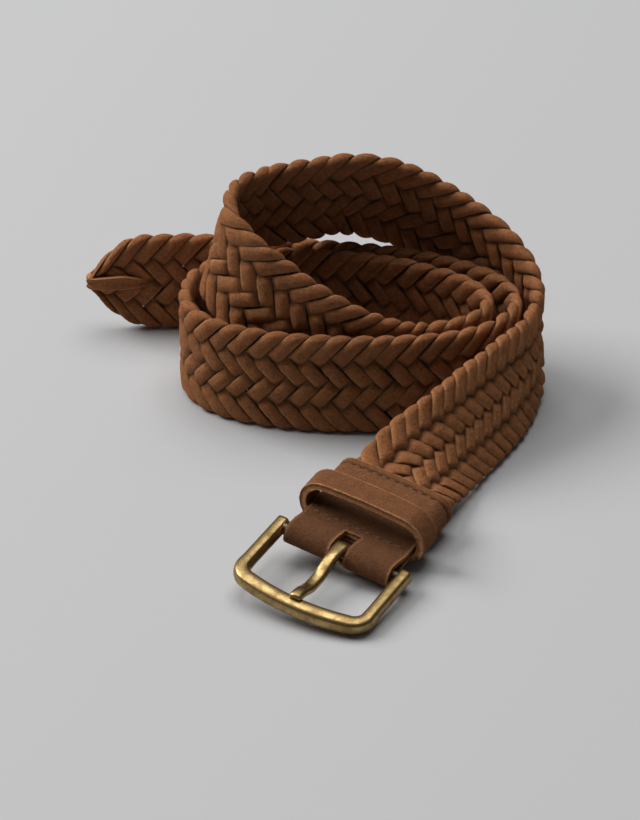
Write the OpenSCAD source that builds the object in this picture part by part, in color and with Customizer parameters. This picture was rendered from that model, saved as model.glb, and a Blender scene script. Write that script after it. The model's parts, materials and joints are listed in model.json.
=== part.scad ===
// Braided suede belt with a single-prong buckle, coiled and standing on its lower edge.
// Millimetres, +Z up. The coil rests on z = 0 and is centred on the Z axis.

/* [Braided strap] */
// Width of the braid
strap_w = 38; // [34:1:39]
// Thickness of the braid
strap_t = 4.4; // [3.6:0.1:4.6]
// Rings per stretch of the route, for the climbing part of the coil
rings = 4; // [2:1:6]

/* [Buckle end] */
// Width of the folded tab
tab_w = 37.8; // [32:0.2:38]
// Thickness of one layer of the tab's suede
suede_t = 1.9; // [1.6:0.1:2.2]
// Distance from the bar axis to the hidden ends of the tab
tab_len = 33; // [30:1:34]
// Length of the cover band along the strap
cover_len = 11.6; // [9:0.2:12]
// Thickness of the cover band's suede
cover_t = 1.8; // [1.4:0.1:2.2]
// Length of the keeper along the strap
keeper_len = 9; // [7:0.5:9]
// Thickness of the keeper's suede
keeper_t = 2.3; // [1.8:0.1:2.6]
// Free height inside the keeper
keeper_gap = 11.4; // [10:0.2:12]

/* [Buckle] */
// Clear width between the arms
window_w = 40; // [39:0.5:42]
// Width of each arm
arm_w = 4.6; // [4:0.2:5]
// Distance from the bar axis to the outside of the front bar
frame_len = 32.6; // [30:0.2:34]
// Width of the front bar, seen from above
front_w = 6; // [5:0.2:7]
// Thickness of the frame
frame_t = 4.8; // [4.2:0.2:5.2]
// Radius of the frame's outer corners
corner_r = 8; // [6:0.5:9]
// Radius of the bow of the front bar
bow_r = 75; // [60:5:100]
// Radius of the heel bar
bar_r = 2.1; // [1.9:0.05:2.2]
// Width of the prong
prong_w = 3.8; // [3.4:0.1:4.2]

/* [Pose of the buckle end] */
// Heading of the strap at the buckle, turned from -Y towards -X
heading = 30; // [25:1:34]
// Dip of the buckle's front
dip = 4; // [0:0.5:4]
// Rise of the buckle's left side
roll = 7; // [5:0.5:8]

/* [Hidden] */
$fn = 64;
running_fit = 0.05;    // radial clearance on the heel bar
soft_gap = 0.3;        // space between soft neighbours
bar_at = [6.5, -95, 7.6];
centring = [1.3, 36.9, 0];

// The strap's route: x, y and z of its middle, lean of its width from upright
// (the upper edge goes inwards), and its width as a part of strap_w.
ROUTE = [
  [-80, 54, 19, 0, 1], [-60, 54, 19, 0, 1], [-41, 54, 19, 0, 1],
  [-20, 52, 19, 0, 1], [0, 50, 19, 0, 1], [19, 47, 19, 0, 1],
  [37, 42, 19, 0, 1], [52, 34.5, 19, 0, 1], [62.5, 25, 19, 0, 1],
  [66.5, 13, 19, 0, 1], [62, 1, 19, 0, 1], [51, -7.5, 19, 0, 1],
  [35, -12, 19, 0, 1], [16, -13.5, 19, 0, 1], [-3, -12.5, 19, 0, 1],
  [-22, -8.5, 19, 0, 1], [-37, -1, 19, 0, 1], [-45, 11, 19, 0, 1],
  [-44.5, 26, 19, 0, 1], [-36.5, 37.5, 19, 0, 1], [-23, 43.3, 19, 0, 1],
  [-6, 44.2, 19, 0, 1], [12, 42, 19, 0, 1], [29, 37, 19, 0, 1],
  [45, 29, 19, 0, 1], [55.5, 18, 19, 0, 1], [55, 6, 19, 0, 1],
  [45, -2, 19, 0, 1], [30, -6, 19.6, 0, 1], [14, -7, 24.5, 0, 1],
  [0, -5.5, 31.5, 1, 1], [-13.5, -2, 39.5, 4, 1], [-26, 3.5, 48.5, 9, 1],
  [-33.5, 14, 55.8, 13, 1], [-31, 27, 58, 14, 1], [-21, 36, 58, 14, 1],
  [-6, 42, 58, 14, 1], [11, 48, 57.2, 16, 1], [28, 50.2, 51.7, 14, 1],
  [44, 46.7, 44.2, 10, 1], [58.5, 38.5, 37, 7, 1], [69.5, 27, 28.5, 4, 1],
  [74, 13, 22, 3, 1], [70.5, -2, 19.4, 5, 1], [62.5, -16, 18.2, 16, 0.98],
  [53, -29, 16.8, 25, 0.95], [43.5, -41, 15.2, 36, 0.92],
  [33.2, -52.6, 12.9, 58, 0.92], [27.3, -59.2, 10.9, 78, 0.94],
  [24.1, -64.7, 10.35, 83, 0.95]
];
tip_k = 0;
hinge_k = 2;
back_end_k = 8;
front_end_k = 16;
inner_end_k = 27;
rise_end_k = 34;
upper_end_k = 41;
last_k = len(ROUTE) - 1;

// ---- the route -------------------------------------------------------------

function unit(v) = v / norm(v);

// A knot of the route; the ones past its ends go straight on.
function knot(i) =
  i < 0 ? 2 * ROUTE[0] - ROUTE[1]
  : i > last_k ? 2 * ROUTE[last_k] - ROUTE[last_k - 1]
  : ROUTE[i];

// The smooth curve through the knots, at k knots from the tail tip.
function along(k) =
  let (i = min(floor(k), last_k - 1), t = k - i)
  let (a = knot(i - 1), b = knot(i), c = knot(i + 1), d = knot(i + 2))
  (2 * b + (c - a) * t + (2 * a - 5 * b + 4 * c - d) * t * t
    + (3 * b - a - 3 * c + d) * t * t * t) / 2;

function place(k) = let (p = along(k)) [p[0], p[1], p[2]];
function heading_at(k) = unit(place(k + 0.01) - place(k - 0.01));

// One ring of the band: a flat section with bevelled edges.
function ring(k) =
  let (p = along(k), f = heading_at(k))
  let (up = unit([0, 0, 1] - f[2] * f), side = cross(up, f))
  let (w = cos(p[3]) * up - sin(p[3]) * side, n = cos(p[3]) * side + sin(p[3]) * up)
  let (a = strap_w * p[4] / 2, b = strap_t / 2, e = strap_t / 4)
  [for (q = [[a, b - e], [a - e, b], [e - a, b], [-a, b - e],
             [-a, e - b], [e - a, -b], [a - e, -b], [a, e - b]])
    place(k) + q[0] * w + q[1] * n];

// A closed band swept along the route from knot k0 to knot k1.
module swept_band(k0, k1) {
  steps = round((k1 - k0) * rings);
  loops = [for (i = [0:steps]) ring(k0 + (k1 - k0) * i / steps)];
  m = len(loops[0]);
  points = [for (loop = loops) each loop];
  start_cap = [for (j = [0:m - 1]) j];
  end_cap = [for (j = [m - 1:-1:0]) steps * m + j];
  sides = [for (i = [0:steps - 1], j = [0:m - 1])
    let (a = i * m + j, b = i * m + (j + 1) % m) each
    [[a, a + m, b + m], [a, b + m, b]]];
  polyhedron(points, concat([start_cap, end_cap], sides), convexity = 8);
}

// An upright band that stands on the floor, from knot k0 to knot k1.
module standing_band(k0, k1) {
  steps = round((k1 - k0) * rings);
  edge = function (s) [for (i = [0:steps])
    let (k = k0 + (k1 - k0) * i / steps, p = along(k), f = heading_at(k))
    [p[0] - f[1] * s, p[1] + f[0] * s]];
  left = edge(strap_t / 2);
  right = edge(-strap_t / 2);
  linear_extrude(strap_w)
    polygon(concat(left, [for (i = [steps:-1:0]) right[i]]));
}

module placed() {
  translate(centring) children();
}

// Local frame of the buckle end: X from the bar to the front bar, Z out of the
// strap's outer face, Y towards the lower edge of the strap.
module at_buckle() {
  placed() translate(bar_at) rotate([-roll, dip, -90 - heading]) children();
}

// A side profile (along X and Z of the buckle frame) given a width along Y.
module across(width) {
  rotate([90, 0, 0]) linear_extrude(width, center = true) children();
}

// ---- the braid -------------------------------------------------------------

tip_len = 19;
hinge_x = ROUTE[hinge_k][0];
tail_y = ROUTE[hinge_k][1];

module braid_tail_tip() {
  tip_x = ROUTE[tip_k][0];
  mid_z = strap_w / 2;
  color("saddlebrown") placed()
    translate([0, tail_y, 0]) across(strap_t)
      polygon([
        [tip_x, mid_z - 2], [tip_x + 6, mid_z - 10], [tip_x + tip_len, 0],
        [tip_x + tip_len, strap_w], [tip_x + 8, strap_w - 6], [tip_x, mid_z + 3]
      ]);
}

module braid_tail() {
  start_x = ROUTE[tip_k][0] + tip_len;
  color("sienna") placed()
    linear_extrude(strap_w)
      difference() {
        translate([start_x, tail_y - strap_t / 2])
          square([hinge_x - start_x, strap_t]);
        translate([hinge_x, tail_y]) circle(strap_t / 2 + soft_gap);
      }
}

module braid_back_run() {
  color("saddlebrown") placed() {
    standing_band(hinge_k, back_end_k);
    translate([hinge_x, tail_y, 0]) cylinder(h = strap_w, r = strap_t / 2 - 0.02);
  }
}

module braid_front_run() {
  color("sienna") placed() standing_band(back_end_k, front_end_k);
}

module braid_inner_turn() {
  color("saddlebrown") placed() standing_band(front_end_k, inner_end_k);
}

module braid_rise() {
  color("sienna") placed() swept_band(inner_end_k + 0.03, rise_end_k);
}

module braid_upper_turn() {
  color("saddlebrown") placed() swept_band(rise_end_k, upper_end_k);
}

module braid_outer_turn() {
  color("sienna") placed() swept_band(upper_end_k, last_k);
}

// The end of the braid, between the two layers of the tab and inside the cover.
module braid_end() {
  color("saddlebrown") at_buckle()
    translate([-tab_len - 1.4, -strap_w / 2 + 0.6, -strap_t / 2])
      cube([tab_len - 27.8, strap_w - 1.2, strap_t]);
}

// ---- tab, cover band and keeper ---------------------------------------------

fold_r = bar_r + running_fit + suede_t;
cover_front = -25;
cover_out = strap_t / 2 + suede_t;

// The tab lies flat in front of the cover and spreads round the braid inside it.
// Half of its outline, from its hidden end to the fold and back along the inside.
tab_outside = [
  [-tab_len, cover_out], [-28.6, cover_out], [-24.9, suede_t + 0.1],
  [-9, suede_t + 0.1], [-4, fold_r - 0.5]
];
tab_inside = [
  [-1, 0.9], [-5, 0.1], [-25.4, 0.1], [-29, strap_t / 2], [-tab_len, strap_t / 2]
];

function arc(r, a0, a1, steps) =
  [for (i = [0:steps]) let (a = a0 + (a1 - a0) * i / steps) r * [cos(a), sin(a)]];
function flipped(points) = [for (i = [len(points) - 1:-1:0]) [points[i][0], -points[i][1]]];

module tab() {
  slot_w = prong_w + 1.2;
  color("chocolate") at_buckle()
    difference() {
      across(tab_w)
        difference() {
          polygon(concat(tab_outside, arc(fold_r, 100, -100, 20), flipped(tab_outside),
            flipped(tab_inside), tab_inside));
          circle(bar_r + running_fit);
        }
      translate([-8, -slot_w / 2, -fold_r - 1])
        cube([fold_r + 9, slot_w, 2 * fold_r + 2]);
    }
}

module stitch_row(x, z, count, reach) {
  pitch = 2 * reach / (count - 1);
  for (i = [0:count - 1])
    translate([x, -reach + i * pitch, z])
      cube([0.8, 2.1, 0.4], center = true);
}

module tab_stitches() {
  color("peru") at_buckle()
    stitch_row(-11, suede_t + 0.32, 9, 15);
}

module cover_band() {
  color("chocolate") at_buckle()
    translate([cover_front - cover_len, 0, 0])
      rotate([90, 0, 90]) linear_extrude(cover_len)
        difference() {
          square([strap_w + 2 * cover_t, 2 * (cover_out + cover_t)], center = true);
          square([strap_w + 0.1, 2 * cover_out + 0.1], center = true);
        }
}

module cover_stitches() {
  color("peru") at_buckle()
    stitch_row(cover_front - cover_len + 2.4, cover_out + cover_t + 0.22, 11, 16.5);
}

keeper_x = -12.5 - keeper_len;
keeper_low = -suede_t - 0.6;

module keeper() {
  inner_w = strap_w + 1.4;
  color("peru") at_buckle()
    translate([keeper_x, 0, keeper_low + keeper_gap / 2])
      rotate([90, 0, 90]) linear_extrude(keeper_len)
        difference() {
          square([inner_w + 2 * keeper_t, keeper_gap + 2 * keeper_t], center = true);
          square([inner_w, keeper_gap], center = true);
        }
}

module keeper_staple() {
  color("goldenrod") at_buckle()
    translate([keeper_x + keeper_len / 2, 0, keeper_low - keeper_t - 0.32])
      cube([1, 9, 0.6], center = true);
}

// ---- buckle ------------------------------------------------------------------

half_out = window_w / 2 + arm_w;
bow_x = frame_len - bow_r;

// The area inside a bowed bar with round corners: half is half its width, r the
// radius of its corners, bow the radius of the bar.
module bowed_area(half, r, bow) {
  side_y = half - r;
  corner_x = bow_x + sqrt(pow(bow - r, 2) - side_y * side_y);
  touch_y = side_y * bow / (bow - r);
  intersection() {
    translate([bow_x, 0]) circle(bow, $fn = 128);
    translate([0, -touch_y]) square([frame_len + 1, 2 * touch_y]);
  }
  for (s = [-1, 1])
    translate([corner_x, s * side_y]) circle(r);
  translate([0, -half]) square([corner_x, 2 * half]);
}

module buckle_frame() {
  color("darkgoldenrod") at_buckle()
    difference() {
      union() {
        translate([0, 0, -frame_t / 2]) linear_extrude(frame_t)
          difference() {
            bowed_area(half_out, corner_r, bow_r);
            bowed_area(window_w / 2, corner_r - arm_w, bow_r - front_w);
          }
        for (s = [-1, 1])
          translate([0, s * (window_w + arm_w) / 2, 0]) rotate([90, 0, 0])
            cylinder(h = arm_w, r = frame_t / 2 + 0.9, center = true);
      }
      rotate([90, 0, 0]) cylinder(h = 2 * half_out + 2, r = bar_r, center = true);
    }
}

module heel_bar() {
  color("silver") at_buckle()
    rotate([90, 0, 0]) cylinder(h = 2 * half_out - 1, r = bar_r, center = true);
}

// The prong's side outline: an eye round the bar and a cranked strip whose tip
// lies on the front bar.
module prong() {
  eye_r = bar_r + running_fit + 1.5;
  rest_z = frame_t / 2 + 0.08;
  front_x = frame_len - front_w;
  color("darkgoldenrod") at_buckle()
    across(prong_w)
      difference() {
        polygon(concat(arc(eye_r, 345, 90, 24), [
          [5, eye_r], [9.5, eye_r - 0.6], [14, 0.9], [20, 0.7],
          [front_x - 2.5, rest_z + 1.5], [front_x + 0.6, rest_z + 2],
          [front_x + 2.3, rest_z + 1.7], [front_x + 2.8, rest_z + 1], [front_x + 2.3, rest_z],
          [front_x - 1, rest_z], [20, -1.5], [13, -1.4], [8, 0.8]
        ]));
        circle(bar_r + running_fit);
      }
}

braid_tail_tip();
braid_tail();
braid_back_run();
braid_front_run();
braid_inner_turn();
braid_rise();
braid_upper_turn();
braid_outer_turn();
braid_end();
cover_band();
cover_stitches();
tab();
tab_stitches();
keeper();
keeper_staple();
buckle_frame();
heel_bar();
prong();
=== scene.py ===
"""A braided suede belt, coiled and standing on its edge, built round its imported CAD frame."""
import json
import math

import bpy
import numpy as np
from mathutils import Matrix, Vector


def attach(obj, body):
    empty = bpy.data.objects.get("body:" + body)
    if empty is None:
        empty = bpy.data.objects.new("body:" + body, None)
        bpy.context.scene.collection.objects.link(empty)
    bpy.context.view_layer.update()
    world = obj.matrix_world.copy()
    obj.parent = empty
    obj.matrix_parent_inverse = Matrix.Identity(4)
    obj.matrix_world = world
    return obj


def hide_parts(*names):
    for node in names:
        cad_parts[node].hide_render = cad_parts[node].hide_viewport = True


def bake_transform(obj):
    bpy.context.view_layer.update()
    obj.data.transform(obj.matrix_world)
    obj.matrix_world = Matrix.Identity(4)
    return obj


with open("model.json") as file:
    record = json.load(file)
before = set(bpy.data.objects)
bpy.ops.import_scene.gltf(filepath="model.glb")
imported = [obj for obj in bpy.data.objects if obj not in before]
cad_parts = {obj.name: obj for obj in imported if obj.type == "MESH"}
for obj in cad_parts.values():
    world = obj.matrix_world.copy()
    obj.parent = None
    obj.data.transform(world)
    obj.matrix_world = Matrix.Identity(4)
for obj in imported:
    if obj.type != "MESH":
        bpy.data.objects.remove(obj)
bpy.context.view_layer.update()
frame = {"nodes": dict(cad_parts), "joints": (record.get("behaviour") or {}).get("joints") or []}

MM = 0.001

# ---- the CAD's places, in millimetres ----------------------------------------

STRAP_W = 38.0
SUEDE_T = 1.9
TAB_W = 38.0
TAB_LEN = 33.0             # from the bar to its ends inside the cover band
COVER_FRONT = -25.0
COVER_LEN = 11.6
KEEPER_FRONT = -12.5
KEEPER_LEN = 9.0
BAR_R = 2.1
BAR_PLAY = 0.05            # between the bar and what turns on it
CENTRING = np.array([1.3, 36.9, 0.0])

# The strap's route, as part.scad has it: x, y, z, lean of its width in degrees, width
# factor. One more knot at its end takes the laces into the cover band.
ROUTE = np.array([
    [-80, 54, 19, 0, 1], [-60, 54, 19, 0, 1], [-41, 54, 19, 0, 1],
    [-20, 52, 19, 0, 1], [0, 50, 19, 0, 1], [19, 47, 19, 0, 1],
    [37, 42, 19, 0, 1], [52, 34.5, 19, 0, 1], [62.5, 25, 19, 0, 1],
    [66.5, 13, 19, 0, 1], [62, 1, 19, 0, 1], [51, -7.5, 19, 0, 1],
    [35, -12, 19, 0, 1], [16, -13.5, 19, 0, 1], [-3, -12.5, 19, 0, 1],
    [-22, -8.5, 19, 0, 1], [-37, -1, 19, 0, 1], [-45, 11, 19, 0, 1],
    [-44.5, 26, 19, 0, 1], [-36.5, 37.5, 19, 0, 1], [-23, 43.3, 19, 0, 1],
    [-6, 44.2, 19, 0, 1], [12, 42, 19, 0, 1], [29, 37, 19, 0, 1],
    [45, 29, 19, 0, 1], [55.5, 18, 19, 0, 1], [55, 6, 19, 0, 1],
    [45, -2, 19, 0, 1], [30, -6, 19.6, 0, 1], [14, -7, 24.5, 0, 1],
    [0, -5.5, 31.5, 1, 1], [-13.5, -2, 39.5, 4, 1], [-26, 3.5, 48.5, 9, 1],
    [-33.5, 14, 55.8, 13, 1], [-31, 27, 58, 14, 1], [-21, 36, 58, 14, 1],
    [-6, 42, 58, 14, 1], [11, 48, 57.2, 16, 1], [28, 50.2, 51.7, 14, 1],
    [44, 46.7, 44.2, 10, 1], [58.5, 38.5, 37, 7, 1], [69.5, 27, 28.5, 4, 1],
    [74, 13, 22, 3, 1], [70.5, -2, 19.4, 5, 1], [62.5, -16, 18.2, 16, 0.98],
    [53, -29, 16.8, 25, 0.95], [43.5, -41, 15.2, 36, 0.92],
    [33.2, -52.6, 12.9, 58, 0.92], [27.3, -59.2, 10.9, 78, 0.94],
    [24.1, -64.7, 10.35, 83, 0.95], [21.1, -69.9, 9.9, 83, 0.95],
])


def joint(name):
    """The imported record's joint of that name."""
    return next(j for j in frame["joints"] if j["name"] == name)


def buckle_matrix():
    """The buckle end's frame: X towards the front bar, Z out of the outer face."""
    forward = np.array(joint("keeper_slide")["axis"])
    side = -np.array(joint("frame_pivot")["axis"])
    return np.stack([forward, side, np.cross(forward, side)], axis=1)


BAR_AT = np.array(joint("frame_pivot")["pos_m"]) / MM
AT_BUCKLE = buckle_matrix()


def from_buckle(points):
    """Points of the buckle end's frame, in the row frame."""
    return BAR_AT + np.asarray(points, float) @ AT_BUCKLE.T


# ---- camera, light and floor ----------------------------------------------------

CAMERA_ELEVATION = 33.0
CAMERA_DISTANCE = 1.2
LENS = 154.4
SENSOR = 36
LIGHT_TARGET = Vector((0, 0, 0.03))


def make_camera():
    """A long lens that looks along +Y and down at the middle of the coil."""
    camera = bpy.data.objects.new("camera", bpy.data.cameras.new("camera"))
    bpy.context.collection.objects.link(camera)
    target = Vector(CENTRING * MM)
    tilt = math.radians(CAMERA_ELEVATION)
    camera.location = target + CAMERA_DISTANCE * Vector((0, -math.cos(tilt), math.sin(tilt)))
    camera.rotation_euler = (math.pi / 2 - tilt, 0, 0)
    camera.data.sensor_width = SENSOR
    camera.data.lens = LENS
    camera.data.clip_start = 0.01
    bpy.context.scene.camera = camera


def area_light(name, at, size, power):
    """A square soft light that faces the coil."""
    light = bpy.data.lights.new(name, "AREA")
    light.size = size
    light.energy = power
    lamp = bpy.data.objects.new(name, light)
    lamp.location = at
    aim = LIGHT_TARGET - Vector(at)
    lamp.rotation_euler = aim.to_track_quat("-Z", "Y").to_euler()
    bpy.context.collection.objects.link(lamp)


def make_light():
    """A soft key from the left and behind, a soft top light, and a faint surround."""
    area_light("key", at=(-2.4, 0.9, 2.3), size=2.0, power=122)
    area_light("top", at=(0.1, 0.9, 3.0), size=2.4, power=62)
    world = bpy.data.worlds.new("surround")
    world.use_nodes = True
    background = world.node_tree.nodes["Background"]
    background.inputs["Color"].default_value = (0.95, 0.97, 1, 1)
    background.inputs["Strength"].default_value = 0.08
    bpy.context.scene.world = world
    bpy.context.scene.view_settings.view_transform = "Standard"


# ---- materials ------------------------------------------------------------------

# The sockets that a mix node uses for colours.
MIX_FACTOR, MIX_A, MIX_B, MIX_RESULT = 0, 6, 7, 2


class Nodes:
    """A short way to write a material's nodes, in the coordinates of its piece."""

    def __init__(self, name):
        self.material = bpy.data.materials.new(name)
        self.material.use_nodes = True
        self.tree = self.material.node_tree
        self.shader = self.tree.nodes["Principled BSDF"]
        self.place = self.tree.nodes.new("ShaderNodeTexCoord").outputs["Object"]

    def add(self, kind, links=(), **values):
        """A node whose named settings and inputs get values, and whose links are made."""
        node = self.tree.nodes.new(kind)
        for key, value in values.items():
            if hasattr(node, key):
                setattr(node, key, value)
            else:
                node.inputs[key.replace("_", " ")].default_value = value
        for socket, source in dict(links).items():
            self.tree.links.new(source, node.inputs[socket])
        return node

    def fill(self, socket, value):
        """Gives an input a number, a colour or another node's output."""
        if isinstance(value, tuple):
            socket.default_value = (*value, 1)
        elif isinstance(value, (int, float)):
            socket.default_value = value
        else:
            self.tree.links.new(value, socket)

    def noise(self, scale, detail=4.0, rough=0.6):
        """Noise that is fixed to the piece, scale times as fine as a metre."""
        return self.add("ShaderNodeTexNoise", {"Vector": self.place},
                        Scale=scale, Detail=detail, Roughness=rough).outputs["Fac"]

    def span(self, source, low, high, to_low=0.0, to_high=1.0):
        """The source's range from low to high, stretched to another and cut off there."""
        node = self.add("ShaderNodeMapRange", {"Value": source})
        for key, value in zip(("From Min", "From Max", "To Min", "To Max"),
                              (low, high, to_low, to_high)):
            node.inputs[key].default_value = value
        return node.outputs["Result"]

    def mix(self, factor, first, second):
        """A colour mix; first and second are colours or sockets."""
        node = self.add("ShaderNodeMix", data_type="RGBA")
        for index, value in ((MIX_FACTOR, factor), (MIX_A, first), (MIX_B, second)):
            self.fill(node.inputs[index], value)
        return node.outputs[MIX_RESULT]

    def math(self, operation, first, second):
        """A sum or product; first and second are numbers or sockets."""
        node = self.add("ShaderNodeMath", operation=operation)
        for socket, value in zip(node.inputs, (first, second)):
            self.fill(socket, value)
        return node.outputs[0]

    def attribute(self, name):
        """What make_piece wrote on the mesh under that name."""
        return self.add("ShaderNodeAttribute", attribute_name=name).outputs["Fac"]

    def bump(self, height, distance, strength=1.0):
        """Relief of that distance in metres on the shader."""
        node = self.add("ShaderNodeBump", {"Height": height})
        node.inputs["Distance"].default_value = distance
        node.inputs["Strength"].default_value = strength
        self.tree.links.new(node.outputs["Normal"], self.shader.inputs["Normal"])

    def wire(self, socket, source):
        """Links a source to one of the shader's inputs."""
        self.tree.links.new(source, self.shader.inputs[socket])


def suede(name, dark, mid, light, raw):
    """Napped split leather: mottled, matt and fibrous, with paler raw cut edges, and painted
    shade where a piece is marked as lying low.
    """
    n = Nodes(name)
    clouds = n.span(n.noise(230, 5, 0.75), 0.4, 0.6)
    nap = n.span(n.noise(1100, 7, 0.8), 0.34, 0.68)
    fibre = n.noise(5200, 4, 0.7)
    colour = n.mix(clouds, dark, mid)
    colour = n.mix(n.math("MULTIPLY", nap, 0.75), colour, light)
    colour = n.mix(n.span(fibre, 0.42, 0.58, 0.45, 0.0), colour, dark)
    # The cut edges are paler. Painted shade: where a piece is marked as lying low in the weave
    # or in a groove, the colour is darkened towards a fifth of the dark tone, standing in for
    # the shade in those hollows.
    edge = n.math("MULTIPLY", n.attribute("rim"), n.span(nap, 0.0, 1.0, 0.45, 1.0))
    colour = n.mix(edge, colour, raw)
    painted_shade_amount = n.math("MULTIPLY", n.attribute("painted_hollow_shade"), 0.95)
    n.wire("Base Color", n.mix(painted_shade_amount, colour, tuple(0.22 * c for c in dark)))
    n.shader.inputs["Roughness"].default_value = 0.95
    n.shader.inputs["Specular IOR Level"].default_value = 0.08
    n.shader.inputs["Sheen Weight"].default_value = 0.17
    n.shader.inputs["Sheen Roughness"].default_value = 0.6
    n.shader.inputs["Sheen Tint"].default_value = (0.9, 0.55, 0.35, 1)
    height = n.math("ADD", n.math("MULTIPLY", nap, 0.6), n.math("MULTIPLY", fibre, 0.5))
    n.bump(height, 0.0012)
    return n.material


def metal(name, bright, dull, patina, rough):
    """Satin cast metal, rubbed bright in places and dull with patina in others."""
    n = Nodes(name)
    cloud = n.span(n.noise(210, 5, 0.65), 0.35, 0.65)
    speck = n.span(n.noise(1700, 5, 0.7), 0.52, 0.7)
    colour = n.mix(cloud, dull, bright)
    n.wire("Base Color", n.mix(n.math("MULTIPLY", speck, 0.5), colour, patina))
    n.shader.inputs["Metallic"].default_value = 1
    n.wire("Roughness", n.span(cloud, 0, 1, rough + 0.12, rough))
    n.bump(n.noise(700, 3, 0.5), 0.00003, 0.5)
    return n.material


def floor_material():
    """A plain pale grey, matt and almost even."""
    n = Nodes("pale_floor")
    n.wire("Base Color", n.mix(n.noise(2.0, 2), (0.43, 0.43, 0.433), (0.44, 0.44, 0.443)))
    n.shader.inputs["Roughness"].default_value = 0.7
    return n.material


def thread_material():
    """Dark waxed thread with its strands showing."""
    n = Nodes("waxed_thread")
    strands = n.span(n.noise(2600, 3), 0.35, 0.65)
    n.wire("Base Color", n.mix(strands, (0.07, 0.028, 0.012), (0.16, 0.065, 0.027)))
    n.shader.inputs["Roughness"].default_value = 0.6
    n.bump(strands, 0.00008)
    return n.material


# ---- mesh helpers ----------------------------------------------------------------

FIBRE_HALF_W = 0.045
FIBRE_LEN = 0.6


def unit(vectors):
    """The vectors at length one."""
    return vectors / np.linalg.norm(vectors, axis=-1, keepdims=True)


def distances(points):
    """How far along the line through the points each of them is."""
    return np.concatenate([[0], np.cumsum(np.linalg.norm(np.diff(points, axis=0), axis=1))])


def at_distances(where, points):
    """Places on the line through the points, at those distances along it."""
    s = distances(points)
    return np.stack([np.interp(where, s, column) for column in points.T], axis=1)


def arc(radius, degrees):
    """Points of a circle round the origin at those angles."""
    return [(radius * math.cos(math.radians(a)), radius * math.sin(math.radians(a)))
            for a in degrees]


def make_piece(name, points, faces, material, rim=None, painted_hollow_shade=None):
    """A smooth mesh piece from points in millimetres.

    rim marks its raw cut edges, and the last mark the places that sit low in the weave, which
    the suede darkens as painted shade."""
    mesh = bpy.data.meshes.new(name)
    mesh.from_pydata((np.asarray(points) * MM).tolist(), [], faces)
    mesh.validate()
    mesh.shade_smooth()
    for mark, values in (("rim", rim), ("painted_hollow_shade", painted_hollow_shade)):
        layer = mesh.attributes.new(mark, "FLOAT", "POINT")
        if values is not None:
            layer.data.foreach_set("value", np.asarray(values, np.float32).ravel())
    mesh.materials.append(material)
    piece = bpy.data.objects.new(name, mesh)
    bpy.context.collection.objects.link(piece)
    return piece


def tube_faces(rings, sides, closed=False, caps=True):
    """Quads between rings of points, and one flat cap at each end of an open tube."""
    faces = []
    for i in range(rings if closed else rings - 1):
        a, b = i * sides, (i + 1) % rings * sides
        faces += [(a + j, a + (j + 1) % sides, b + (j + 1) % sides, b + j) for j in range(sides)]
    if caps and not closed:
        faces.append(tuple(range(sides - 1, -1, -1)))
        faces.append(tuple((rings - 1) * sides + j for j in range(sides)))
    return faces


def wander(rng, count, every, size):
    """A smooth random walk about zero: one draw every so many samples."""
    draws = rng.normal(0, size, count // every + 3)
    spots = np.arange(len(draws)) * every
    return smooth(np.interp(np.arange(count), spots, draws), every)


def smooth(values, width):
    """A running mean with soft ends over so many samples."""
    width = max(3, int(width) | 1)
    kernel = np.hanning(width + 2)[1:-1]
    kernel /= kernel.sum()
    padded = np.pad(values, width // 2, mode="edge")
    return np.convolve(padded, kernel, mode="valid")


def with_fibres(points, faces, rim, spots, length, rng):
    """Adds loose leather fibres, thin blades that stand up from some of the points."""
    points = np.asarray(points, float)
    roots = points[spots]
    way = unit(rng.normal(0, 1, roots.shape))
    side = unit(np.cross(way, rng.normal(0, 1, roots.shape))) * FIBRE_HALF_W
    tips = roots + way * length * rng.uniform(0.4, 1, (len(roots), 1))
    blades = np.stack([roots - side, roots + side, tips], axis=1).reshape(-1, 3)
    first = len(points)
    faces = faces + [(first + 3 * k, first + 3 * k + 1, first + 3 * k + 2)
                     for k in range(len(roots))]
    return np.vstack([points, blades]), faces, np.concatenate([rim, np.ones(len(blades))])


# ---- the strap's route -------------------------------------------------------------

class Route:
    """The Catmull-Rom curve through the knots, read by distance from the tail tip.

    Beside each point it has the strap's width direction, its outward direction and
    its width factor."""

    def __init__(self, knots, steps=60):
        ends = np.vstack([2 * knots[0] - knots[1], knots, 2 * knots[-1] - knots[-2]])
        t = (np.arange(steps) / steps)[:, None]
        spans = [(2 * b + (c - a) * t + (2 * a - 5 * b + 4 * c - d) * t ** 2
                  + (3 * b - a - 3 * c + d) * t ** 3) / 2
                 for a, b, c, d in zip(ends, ends[1:], ends[2:], ends[3:])]
        line = np.vstack(spans + [ends[-2:-1]])
        self.at = line[:, :3] + CENTRING
        self.lean = np.radians(line[:, 3])
        self.factor = line[:, 4]
        self.s = distances(self.at)
        self.length = self.s[-1]
        run = unit(np.gradient(self.at, axis=0))
        up = unit(np.array([0, 0, 1.0]) - run[:, 2:3] * run)
        side = np.cross(up, run)
        c, s = np.cos(self.lean)[:, None], np.sin(self.lean)[:, None]
        self.width = c * up - s * side
        self.out = c * side + s * up

    def read(self, u, values):
        """One vector of values for each distance in u."""
        return np.stack([np.interp(u, self.s, v) for v in values.T], axis=-1)

    def place(self, u, v, n):
        """Points at u along the strap, v across it and n out of its outer face."""
        width = unit(self.read(u, self.width))
        out = unit(self.read(u, self.out))
        factor = np.interp(u, self.s, self.factor)
        beyond = (np.minimum(u, 0))[..., None] * unit(self.at[1] - self.at[0])
        return (self.read(u, self.at) + beyond + (v * factor)[..., None] * width
                + n[..., None] * out)


# ---- the braid ----------------------------------------------------------------------

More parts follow.
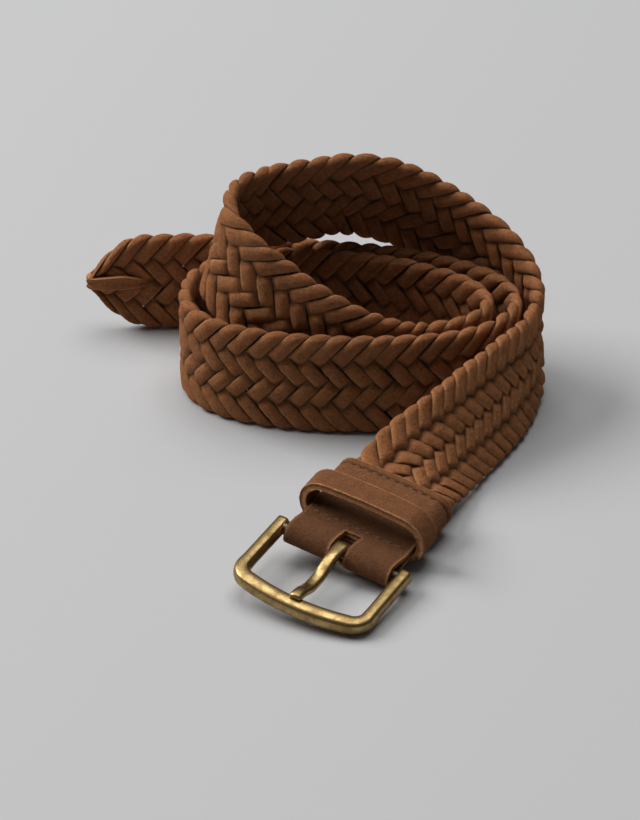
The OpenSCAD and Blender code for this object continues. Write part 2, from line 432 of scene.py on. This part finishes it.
LACES = 9
LEVELS = 9                 # rows of crossings from one edge to the other
STEP = 3.6                 # along the strap for one level
RISE = 4.2                 # across the strap for one level, round the folds too
NEXT_LACE = 2 * LEVELS // LACES    # levels from one lace to the next
SAMPLES = 8                # rings of a lace's mesh for one level
LACE_W = 5.2
LACE_T = 1.7
LIFT = 1.5                 # from the strap's mid-surface to a lace's middle
LIFT_GAIN = 1.35           # how soon a lace reaches its full lift at a crossing
DROOP = 0.95               # how far a lace's edges bend down round the lace below
SWAY = 0.085               # how far a lace strays along its path, in levels
HEAVE = 0.1                # how far it strays from its lift
SPREAD = 0.04              # how much its width varies, as a part of it
TWIST = 0.2                # how far its edges tilt up and down
EDGE = (LEVELS * RISE - math.pi * LIFT) / 2    # where a lace starts to fold round
# Which way a lace is lifted off its own middle at each level up and down again.
WEAVE = [-1, -1, -1, 1, 1, -1, -1, 1, 1, 1, 1, 1, -1, -1, 1, 1, -1, -1]
CROWDED = 105.0            # length of the crowded stretch at the buckle
CROWDED_RAMP = 30.0        # over which the braid goes from loose to crowded
CROWDING = 0.27            # how much closer its crossings are
TIP = 21.0                 # length of the pointed tip
TIP_END = 0.12             # width left at its end, as a part of the full width


def tip_taper(u):
    """The strap's width near the tail tip, as a part of its full width."""
    t = np.clip(u / TIP, 0, 1)
    return TIP_END + (1 - TIP_END) * (1 - (1 - t) ** 2) ** 0.85


def lace_section():
    """Half-width and half-thickness places round a cut strip of suede."""
    top = [(-1, 0.35), (-0.985, 0.8), (-0.86, 0.98), (-0.55, 1), (-0.2, 1),
           (0.2, 1), (0.55, 1), (0.86, 0.98), (0.985, 0.8), (1, 0.35)]
    return np.array(top + [(x, -y) for x, y in reversed(top)])[::-1]


def fold(phase):
    """Where a lace's middle runs across the strap, and how far it has turned over."""
    p = np.mod(phase, 2 * LEVELS)
    half = math.pi * LIFT / 2 / RISE
    turn = np.interp(p, [0, half, LEVELS - half, LEVELS + half, 2 * LEVELS - half, 2 * LEVELS],
                     [90, 0, 0, 180, 180, 90])
    q = np.minimum(p, 2 * LEVELS - p) * RISE - LEVELS * RISE / 2
    return np.clip(q, -EDGE, EDGE), np.radians(turn)


def crowding(u, end):
    """The braid is pushed together over its last stretch, towards the buckle."""
    t = np.clip((u - end + CROWDED) / CROWDED_RAMP, 0, 1)
    return t * t * (3 - 2 * t)


def make_lace(route, index, material, end):
    """One lace: it zigzags from edge to edge and folds round each edge to the back."""
    rng = np.random.default_rng(40 + index)
    # Its path: where it is along the strap at each level, and its lift over the others.
    grid = np.linspace(0, end, 3000)
    levels = np.cumsum(np.gradient(grid) / STEP / (1 - CROWDING * crowding(grid, end)))
    phase = np.arange(levels[0], levels[-1], 1 / SAMPLES)
    count = len(phase)
    u = np.interp(phase, levels, grid)
    crowd = crowding(u, end)[:, None]
    step = STEP * (1 - CROWDING * crowd)
    phase = phase + NEXT_LACE * index + wander(rng, count, 3 * SAMPLES, SWAY)
    lift = np.interp(np.mod(phase, 2 * LEVELS), np.arange(2 * LEVELS + 1), WEAVE + WEAVE[:1])
    lift = np.clip(smooth(lift, 0.9 * SAMPLES) * LIFT_GAIN, -1, 1)
    lift = smooth(lift, 0.4 * SAMPLES) * LIFT
    lift += wander(rng, count, 2 * SAMPLES, HEAVE)
    wide = LACE_W / 2 * (1 + wander(rng, count, 3 * SAMPLES, SPREAD))
    tilt = wander(rng, count, 2 * SAMPLES, TWIST)

    # Its section: ragged cut edges, which bend down round the lace below.
    section = lace_section()
    x = section[None, :, 0] * wide[:, None]
    raw = np.abs(section[:, 0]) > 0.95
    x = x + rng.normal(0, 0.05, x.shape) * raw
    side = np.clip(lift / LIFT, -1, 1)[:, None]
    drop = DROOP * side * section[None, :, 0] ** 2
    lean = tilt[:, None] - side * (0.15 + 0.45 * crowd)
    y = section[None, :, 1] * LACE_T / 2 - drop + lean * section[None, :, 0]
    y = y + rng.normal(0, 0.02, x.shape)

    # Turned to the lace's slant, folded round the strap's edges and set on the route.
    slope = np.hypot(step, RISE)
    at_u = u[:, None] - x * RISE / slope
    v, turn = fold(phase[:, None] + x * step / slope / RISE)
    out = lift[:, None] + y
    v = v + out * np.sin(turn)
    n = -out * np.cos(turn)
    v = v * tip_taper(np.clip(at_u, 0, None))
    world = route.place(at_u, v, n)

    # The marks for its material (its raw cut edges, and painted shade that grows as the lace
    # lies lower under the others), and fibres along the cut edges that show.
    near_raw = np.abs(np.abs(section[:, 0]) - 0.86) < 0.05
    rim = np.tile(raw + 0.45 * near_raw, count)
    painted_hollow_shade = np.clip((LIFT + 0.45 - np.abs(out)) / 1.5, 0, 1).ravel()
    points, faces = world.reshape(-1, 3), tube_faces(count, len(section))
    spots = np.flatnonzero(np.tile(raw, count) & (painted_hollow_shade < 0.5))
    spots = rng.choice(spots, len(spots) // 2)
    points, faces, rim = with_fibres(points, faces, rim, spots, 0.55, rng)
    painted_hollow_shade = np.concatenate([painted_hollow_shade, np.zeros(len(points) - len(painted_hollow_shade))])
    return make_piece(f"lace_{index + 1}", points, faces, material, rim, painted_hollow_shade)


def make_tip_tie(route, material):
    """The short lace that closes the pointed tip: along one face, round and back."""
    knots = np.array([[19, 0.4, 0.6], [16.5, 0.9, 2.2], [12, 1.4, 2.9], [7, 1.0, 2.8],
                      [3, 0.4, 2.2], [0.2, 0.0, 1.3], [-0.9, 0, 0], [0.2, 0, -1.3],
                      [3, 0.4, -2.2], [7, 1.0, -2.8], [12, 1.4, -2.9], [16.5, 0.9, -2.2],
                      [19, 0.4, -0.6]])
    length = distances(knots)[-1]
    even = np.linspace(0, length, 150)
    path = np.stack([smooth(column, 9) for column in at_distances(even, knots).T], axis=1)
    run = unit(np.gradient(path, axis=0))
    across = unit(np.array([0, 1.0, 0]) - run[:, 1:2] * run)
    face = np.cross(run, across)
    section = lace_section()
    narrowing = [0, 9, length / 2, length - 9, length]
    slim = np.interp(even, narrowing, [0.5, 1, 0.8, 1, 0.5])[:, None]
    x = section[None, :, 0] * LACE_W * 0.5 * slim
    y = section[None, :, 1] * LACE_T * 0.5 - 0.75 * section[None, :, 0] ** 2
    ring = path[:, None] + x[..., None] * across[:, None] + y[..., None] * face[:, None]
    world = route.place(ring[..., 0], ring[..., 1], ring[..., 2])
    rim = np.tile(np.abs(section[:, 0]) > 0.95, len(path))
    tie = make_piece("lace_tip_tie", world.reshape(-1, 3),
                     tube_faces(len(path), len(section)), material, rim)
    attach(tie, "tail")


def make_braid():
    """The laces from the tail tip to the cover band."""
    material = suede("lace_suede", (0.24, 0.078, 0.023), (0.49, 0.170, 0.058),
                     (0.86, 0.36, 0.145), (0.98, 0.46, 0.19))
    route = Route(ROUTE)
    hinge = np.array(joint("tail_bend")["pos_m"])
    for index in range(LACES):
        lace = make_lace(route, index, material, route.length - 2)
        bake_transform(lace)
    make_tip_tie(route, material)
    bands = [n for n in frame["nodes"] if n.startswith("braid_")]
    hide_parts(*bands)


# ---- tab, cover band and keeper -------------------------------------------------------

SLOT_HALF_W = 2.5          # of the tab's slot for the prong
SLOT_REACH = 7.6           # from the bar to the slot's end
COVER_T = 1.8
GROOVE_AT = 2.9            # from the cover's rear edge to its stitched groove
GROOVE_DEPTH = 0.9
KEEPER_T = 2.7
KEEPER_HALF_W = 21.6       # of its middle line, as the three below
KEEPER_HALF_H = 6.9
KEEPER_CORNER_R = 6.7
KEEPER_BOW = 1.3
KEEPER_LIFT = 3.2          # of its middle over the strap's mid-surface
TAB_STITCHES_AT = -11.0
STITCH_HALF_LEN = 1.05
STITCH_HALF_W = 0.34
STITCH_HALF_T = 0.26

def round_rect(half_w, half_h, radius, bow, spots):
    """A closed outline in (y, z), evenly spaced; bow lifts the middle of its top."""
    corners = [(half_w - radius, half_h - radius, 0), (radius - half_w, half_h - radius, 90),
               (radius - half_w, radius - half_h, 180), (half_w - radius, radius - half_h, 270)]
    rough = [(y + dy, z + dz) for y, z, start in corners
             for dy, dz in arc(radius, np.linspace(start, start + 90, 13))]
    rough = np.array(rough + rough[:1])
    even = np.linspace(0, distances(rough)[-1], spots, endpoint=False)
    line = at_distances(even, rough)
    lift = bow * np.clip(1 - (line[:, 0] / half_w) ** 2, 0, 1)
    line[:, 1] += np.where(line[:, 1] > 0, lift, 0)
    return line


def normals_of(line, closed):
    """Unit normals to the left of a flat line's run."""
    if closed:
        run = np.roll(line, -1, axis=0) - np.roll(line, 1, axis=0)
    else:
        run = np.gradient(line, axis=0)
    run = unit(run)
    return np.stack([-run[:, 1], run[:, 0]], axis=1)


def thick_sheet(line, thickness, cross, closed, to_local, keep=None, shape=None, seed=1):
    """A sheet of suede that follows a flat line and runs along cross.

    Gives the points, the faces, and the rim and painted-shade marks of its two sides and its raw
    edges; the painted shade grows with shape, so a groove is darkened. keep(i, j) is False in a
    hole; shape[i, j] moves it along its normal."""
    rng = np.random.default_rng(seed)
    rows, cols = len(line), len(cross)
    normal = normals_of(line, closed)
    spans = rows if closed else rows - 1
    cell = np.ones((spans, cols - 1), bool)
    if keep is not None:
        for i in range(spans):
            for j in range(cols - 1):
                cell[i, j] = keep(i, j)
    lift = np.zeros((rows, cols)) if shape is None else shape
    points, rim, painted_hollow_shade, number = [], [], [], {}

    def border(i, j):
        """Whether a raw edge passes through that place of the sheet."""
        around = []
        for di in (-1, 0):
            for dj in (-1, 0):
                a, b = i + di, j + dj
                if closed:
                    a %= rows
                inside = 0 <= a < spans and 0 <= b < cols - 1
                around.append(inside and cell[a, b])
        return not all(around)

    def vertex(i, j, layer):
        """The number of the point there; layer is 1 or -1 for a side, 0 between them."""
        i %= rows
        key = (i, j, layer)
        if key not in number:
            edge = border(i, j)
            reach = thickness / 2 * (0.86 if edge else 1) * layer
            across = cross[j]
            if edge and layer and j in (0, cols - 1):
                across -= math.copysign(0.12, j - cols / 2)
            p = line[i] + normal[i] * (lift[i, j] + reach)
            number[key] = len(points)
            points.append(to_local(p, across) + rng.normal(0, 0.05 if edge else 0.02, 3))
            rim.append(1.0 if edge else 0.0)
            # painted shade: the further shape moves this place, as in the cover's groove, the
            # darker it is painted
            painted_hollow_shade.append(abs(lift[i, j]) * 0.8)
            if not edge and any(border(i + di, j + dj) for di, dj in
                                ((1, 0), (-1, 0), (0, 1), (0, -1))
                                if closed or 0 <= i + di < rows):
                rim[-1] = 0.5
        return number[key]

    faces = []
    for i in range(spans):
        for j in range(cols - 1):
            if not cell[i, j]:
                continue
            ring = [(i, j), (i + 1, j), (i + 1, j + 1), (i, j + 1)]
            faces.append(tuple(vertex(a, b, 1) for a, b in ring))
            faces.append(tuple(vertex(a, b, -1) for a, b in reversed(ring)))
            sides = [((i, j), (i, j + 1), (i - 1, j)), ((i, j + 1), (i + 1, j + 1), (i, j + 1)),
                     ((i + 1, j + 1), (i + 1, j), (i + 1, j)), ((i + 1, j), (i, j), (i, j - 1))]
            for first, second, (a, b) in sides:
                if closed:
                    a %= rows
                if 0 <= a < spans and 0 <= b < cols - 1 and cell[a, b]:
                    continue
                for top, low in ((1, 0), (0, -1)):
                    faces.append((vertex(*second, top), vertex(*first, top),
                                  vertex(*first, low), vertex(*second, low)))
    rim = np.array(rim)
    edges, rest = np.flatnonzero(rim > 0.9), np.flatnonzero(rim <= 0.9)
    spots = np.concatenate([np.repeat(edges, 3), rng.choice(rest, len(rest) // 3)])
    points, faces, rim = with_fibres(points, faces, rim, spots, FIBRE_LEN, rng)
    return points, faces, rim, np.pad(painted_hollow_shade, (0, len(points) - len(painted_hollow_shade)))


def tab_line():
    """The middle of the tab's suede in (x, z): back, round the bar and back again."""
    wrap = arc(BAR_R + BAR_PLAY + SUEDE_T / 2, range(96, -97, -12))
    top = [(-TAB_LEN, 3.15), (-29, 3.15), (-25.4, 1.2), (-16, 1.05), (-8, 1.15), (-4, 2.3)]
    knots = np.array(top + wrap + [(x, -z) for x, z in reversed(top)])
    even = np.arange(0, distances(knots)[-1], 0.6)
    return np.stack([smooth(column, 5) for column in at_distances(even, knots).T], axis=1)


def make_tab(material):
    """The strip of suede round the heel bar, with the prong's slot at its fold."""
    line = tab_line()
    cross = np.linspace(-TAB_W / 2, TAB_W / 2, 62)
    middle = (line[:-1] + line[1:]) / 2

    def keep(i, j):
        in_slot = abs((cross[j] + cross[j + 1]) / 2) < SLOT_HALF_W
        return not (in_slot and middle[i, 0] > -SLOT_REACH)

    points, faces, rim, painted_hollow_shade = thick_sheet(
        line, SUEDE_T, cross, False, lambda p, c: np.array([p[0], c, p[1]]), keep, seed=3)
    tab = make_piece("folded_tab", from_buckle(points), faces, material, rim, painted_hollow_shade)
    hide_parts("tab")
    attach(tab, "coil")


def cover_line():
    """The cover band's middle line round the braid, in (y, z)."""
    return round_rect(STRAP_W / 2 + 0.95, 4.9, 4.7, 0.8, 150)


def cover_top(y):
    """How high the thread lies in the cover band's groove."""
    line = cover_line()
    top = line[line[:, 1] > 0]
    top = top[np.argsort(top[:, 0])]
    return np.interp(y, *top.T) + 0.35


def tab_top(y):
    """How high the thread lies on the tab, which is flat across its width."""
    return SUEDE_T + 0.2


def make_stitches(name, node, material, x, ys, height):
    """A row of thread stitches that lie on the suede at height(y)."""
    rings, sides = 7, 8
    points, faces = [], []
    for y in ys:
        start = len(points)
        for t in np.linspace(-1, 1, rings) * STITCH_HALF_LEN:
            thick = math.sqrt(max(1 - (t / 1.06) ** 4, 0.05))
            for a in np.linspace(0, 2 * math.pi, sides, endpoint=False):
                points.append((x + STITCH_HALF_W * thick * math.cos(a), y + t,
                               height(y + t) + STITCH_HALF_T * thick * math.sin(a)))
        faces += [tuple(start + c for c in face) for face in tube_faces(rings, sides)]
    row = make_piece(name, from_buckle(points), faces, material)
    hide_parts(node)
    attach(row, "coil")


def make_cover(material):
    """The sleeve round the braid's end, with a stitched groove near its rear edge."""
    cross = np.linspace(COVER_FRONT - COVER_LEN, COVER_FRONT, 36)
    line = cover_line()
    from_rear = cross - cross[0]
    groove = GROOVE_DEPTH * np.exp(-((from_rear - GROOVE_AT) / 0.45) ** 2)
    shape = np.repeat(groove[None], len(line), axis=0)
    points, faces, rim, painted_hollow_shade = thick_sheet(
        line, COVER_T, cross, True, lambda p, c: np.array([c, p[0], p[1]]), shape=shape, seed=5)
    cover = make_piece("cover_sleeve", from_buckle(points), faces, material, rim, painted_hollow_shade)
    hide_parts("cover_band")
    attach(cover, "coil")


def make_keeper(material):
    """The loose loop that stands taller than the strap, to take the tail as well."""
    cross = np.linspace(KEEPER_FRONT - KEEPER_LEN, KEEPER_FRONT, 22)
    line = round_rect(KEEPER_HALF_W, KEEPER_HALF_H, KEEPER_CORNER_R, KEEPER_BOW, 170)
    line = line + [0, KEEPER_LIFT]
    points, faces, rim, painted_hollow_shade = thick_sheet(
        line, KEEPER_T, cross, True, lambda p, c: np.array([c, p[0], p[1]]), seed=7)
    keeper = make_piece("keeper_loop", from_buckle(points), faces, material, rim, painted_hollow_shade)
    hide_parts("keeper")
    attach(keeper, "loop")


# ---- buckle ---------------------------------------------------------------------------

FRAME_LEN = 32.6           # from the bar to the front bar's outside
FRONT_W = 6.0
ARM_W = 4.6
ARM_BACK = 3.3             # the arms reach this far behind the bar
WINDOW_W = 40.0
CORNER_R = 5.4             # of the middle line
BOW_R = 75.0               # of the front bar's outside
PRONG_EYE_T = 1.5          # thickness of the strip that curls round the bar


def sweep(line, across, up, half_w, half_t, section):
    """Rings of a section, in half-widths along across and half-thicknesses along up."""
    w = section[None, :, 0] * half_w[:, None]
    t = section[None, :, 1] * half_t[:, None]
    return line[:, None] + w[..., None] * across[:, None] + t[..., None] * up[:, None]


def frame_line():
    """The middle of the frame from one arm's end round the front bar to the other."""
    bow = BOW_R - FRONT_W / 2
    side = (WINDOW_W + ARM_W) / 2
    bow_x = FRAME_LEN - BOW_R
    corner_y = side - CORNER_R
    corner_x = bow_x + math.sqrt((bow - CORNER_R) ** 2 - corner_y ** 2)
    touch = math.atan2(corner_y, corner_x - bow_x)
    arm = [(x, -side) for x in np.linspace(-ARM_BACK, corner_x, 30)[:-1]]
    turn = [(corner_x + CORNER_R * math.cos(a), -corner_y + CORNER_R * math.sin(a))
            for a in np.linspace(-math.pi / 2, -touch, 16)]
    front = [(bow_x + bow * math.cos(a), bow * math.sin(a))
             for a in np.linspace(-touch, 0, 26)[1:]]
    half = np.array(arm + turn + front)
    return np.vstack([half, half[:-1][::-1] * [1, -1]])


def frame_section():
    """Round outside; two flats inside, where a strap rubs."""
    points = []
    for a in np.arange(-90, 91, 15):
        c, s = math.cos(math.radians(a)), math.sin(math.radians(a))
        points.append((abs(c) ** 0.6, math.copysign(abs(s) ** 0.75, s)))
    inner = [(-0.42, 0.97), (-0.58, 0.88), (-0.93, 0.32), (-1, 0.15),
             (-1, -0.15), (-0.93, -0.32), (-0.58, -0.88), (-0.42, -0.97)]
    return np.array(points + inner)


def make_frame(material):
    """The cast frame: two arms and a stouter, bowed front bar, with rounded ends."""
    line = frame_line()
    s = distances(line)
    run = unit(np.gradient(line, axis=0))
    outward = np.stack([run[:, 1], -run[:, 0]], axis=1)
    spine = np.column_stack([line, np.zeros(len(line))])
    across = np.column_stack([outward, np.zeros(len(line))])
    up = np.tile([0.0, 0, 1], (len(line), 1))
    far = np.minimum(s, s[-1] - s)
    dome = np.sqrt(np.clip(1 - (1 - np.clip(far / 0.8, 0, 1)) ** 2, 0.02, 1))
    grow = np.clip((far - 22) / 12, 0, 1)
    end = 0.45 + 0.55 * dome
    half_w = (2.45 + 0.7 * grow) * end
    half_t = (2.35 + 0.2 * grow) * end
    rings = sweep(spine, across, up, half_w, half_t, frame_section())
    count, sides = rings.shape[:2]
    frame_piece = make_piece("buckle_casting", from_buckle(rings.reshape(-1, 3)),
                             tube_faces(count, sides), material)
    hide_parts("buckle_frame")
    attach(frame_piece, "frame")


def make_prong(material):
    """A strip curled round the bar, dipping through the window to rest on the front."""
    curl = arc(BAR_R + BAR_PLAY + PRONG_EYE_T / 2, range(-20, -271, -10))
    strip = [(2.5, 2.9), (5, 2.8), (7.5, 2.5), (10, 1.8), (12, 1.0), (14, 0.5), (17, 0.35),
             (20, 0.6), (22.5, 1.5), (24.6, 2.6), (26.6, 3.1), (28.6, 3.2), (29.6, 2.9)]
    knots = np.array(curl + strip)
    s = distances(knots)
    even = np.linspace(0, s[-1], 110)
    line = np.stack([smooth(column, 5) for column in at_distances(even, knots).T], axis=1)
    normal = normals_of(line, False)
    spine = np.column_stack([line[:, 0], np.zeros(len(line)), line[:, 1]])
    up = np.column_stack([normal[:, 0], np.zeros(len(line)), normal[:, 1]])
    across = np.tile([0.0, 1, 0], (len(line), 1))
    flat = np.clip((even - s[len(curl) - 1]) / 6, 0, 1)
    end = np.sqrt(np.clip(1 - (1 - np.clip((s[-1] - even) / 1.2, 0, 1)) ** 2, 0.05, 1))
    half_w = (2.3 - 0.25 * flat) * (0.8 + 0.2 * end)
    half_t = (0.72 + 0.42 * flat) * end
    corners = [(-1, 0.35), (-0.92, 0.62), (-0.55, 1), (0, 1.04), (0.55, 1), (0.92, 0.62),
               (1, 0.35), (1, -0.7), (0.9, -0.96), (0, -1), (-0.9, -0.96), (-1, -0.7)]
    rings = sweep(spine, across, up, half_w, half_t, np.array(corners))
    count, sides = rings.shape[:2]
    prong = make_piece("prong_strip", from_buckle(rings.reshape(-1, 3)),
                       tube_faces(count, sides), material)
    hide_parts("prong")
    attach(prong, "tongue")


def paint(node, material):
    """Gives its material to a CAD node that stays."""
    for spot in frame["nodes"][node].material_slots:
        spot.link = "OBJECT"
        spot.material = material


def make_floor():
    """A plain floor, wide enough to fill the picture from any side."""
    half = 4.0
    corners = [(-half, -half, 0), (half, -half, 0), (half, half, 0), (-half, half, 0)]
    mesh = bpy.data.meshes.new("floor")
    mesh.from_pydata(corners, [], [(0, 1, 2, 3)])
    mesh.materials.append(floor_material())
    floor = bpy.data.objects.new("floor", mesh)
    bpy.context.collection.objects.link(floor)


# ---- the whole belt ----------------------------------------------------------------------

make_camera()
make_light()
make_floor()
make_braid()
tab_suede = suede("tab_suede", (0.17, 0.056, 0.018), (0.29, 0.103, 0.036),
                  (0.52, 0.22, 0.09), (0.98, 0.47, 0.21))
# The folded tab takes a darker copy of the tab suede: painted shade for the keeper's shadow over
# it.
make_tab(suede("painted_shade_tab_suede", (0.10, 0.033, 0.011), (0.17, 0.060, 0.021),
               (0.32, 0.135, 0.055), (0.62, 0.28, 0.12)))
make_cover(tab_suede)
make_keeper(tab_suede)
brass = metal("antique_brass", (0.49, 0.34, 0.15), (0.24, 0.158, 0.062),
              (0.07, 0.043, 0.017), 0.3)
make_frame(brass)
make_prong(brass)
paint("heel_bar", metal("bronzed_steel", (0.12, 0.09, 0.06), (0.08, 0.06, 0.04),
                        (0.06, 0.045, 0.03), 0.35))
thread = thread_material()
make_stitches("cover_thread", "cover_stitches", thread, COVER_FRONT - COVER_LEN + GROOVE_AT,
              np.linspace(-16.5, 16.5, 11), cover_top)
make_stitches("tab_thread", "tab_stitches", thread, TAB_STITCHES_AT,
              np.linspace(-15, 15, 9), tab_top)
paint("keeper_staple", brass)
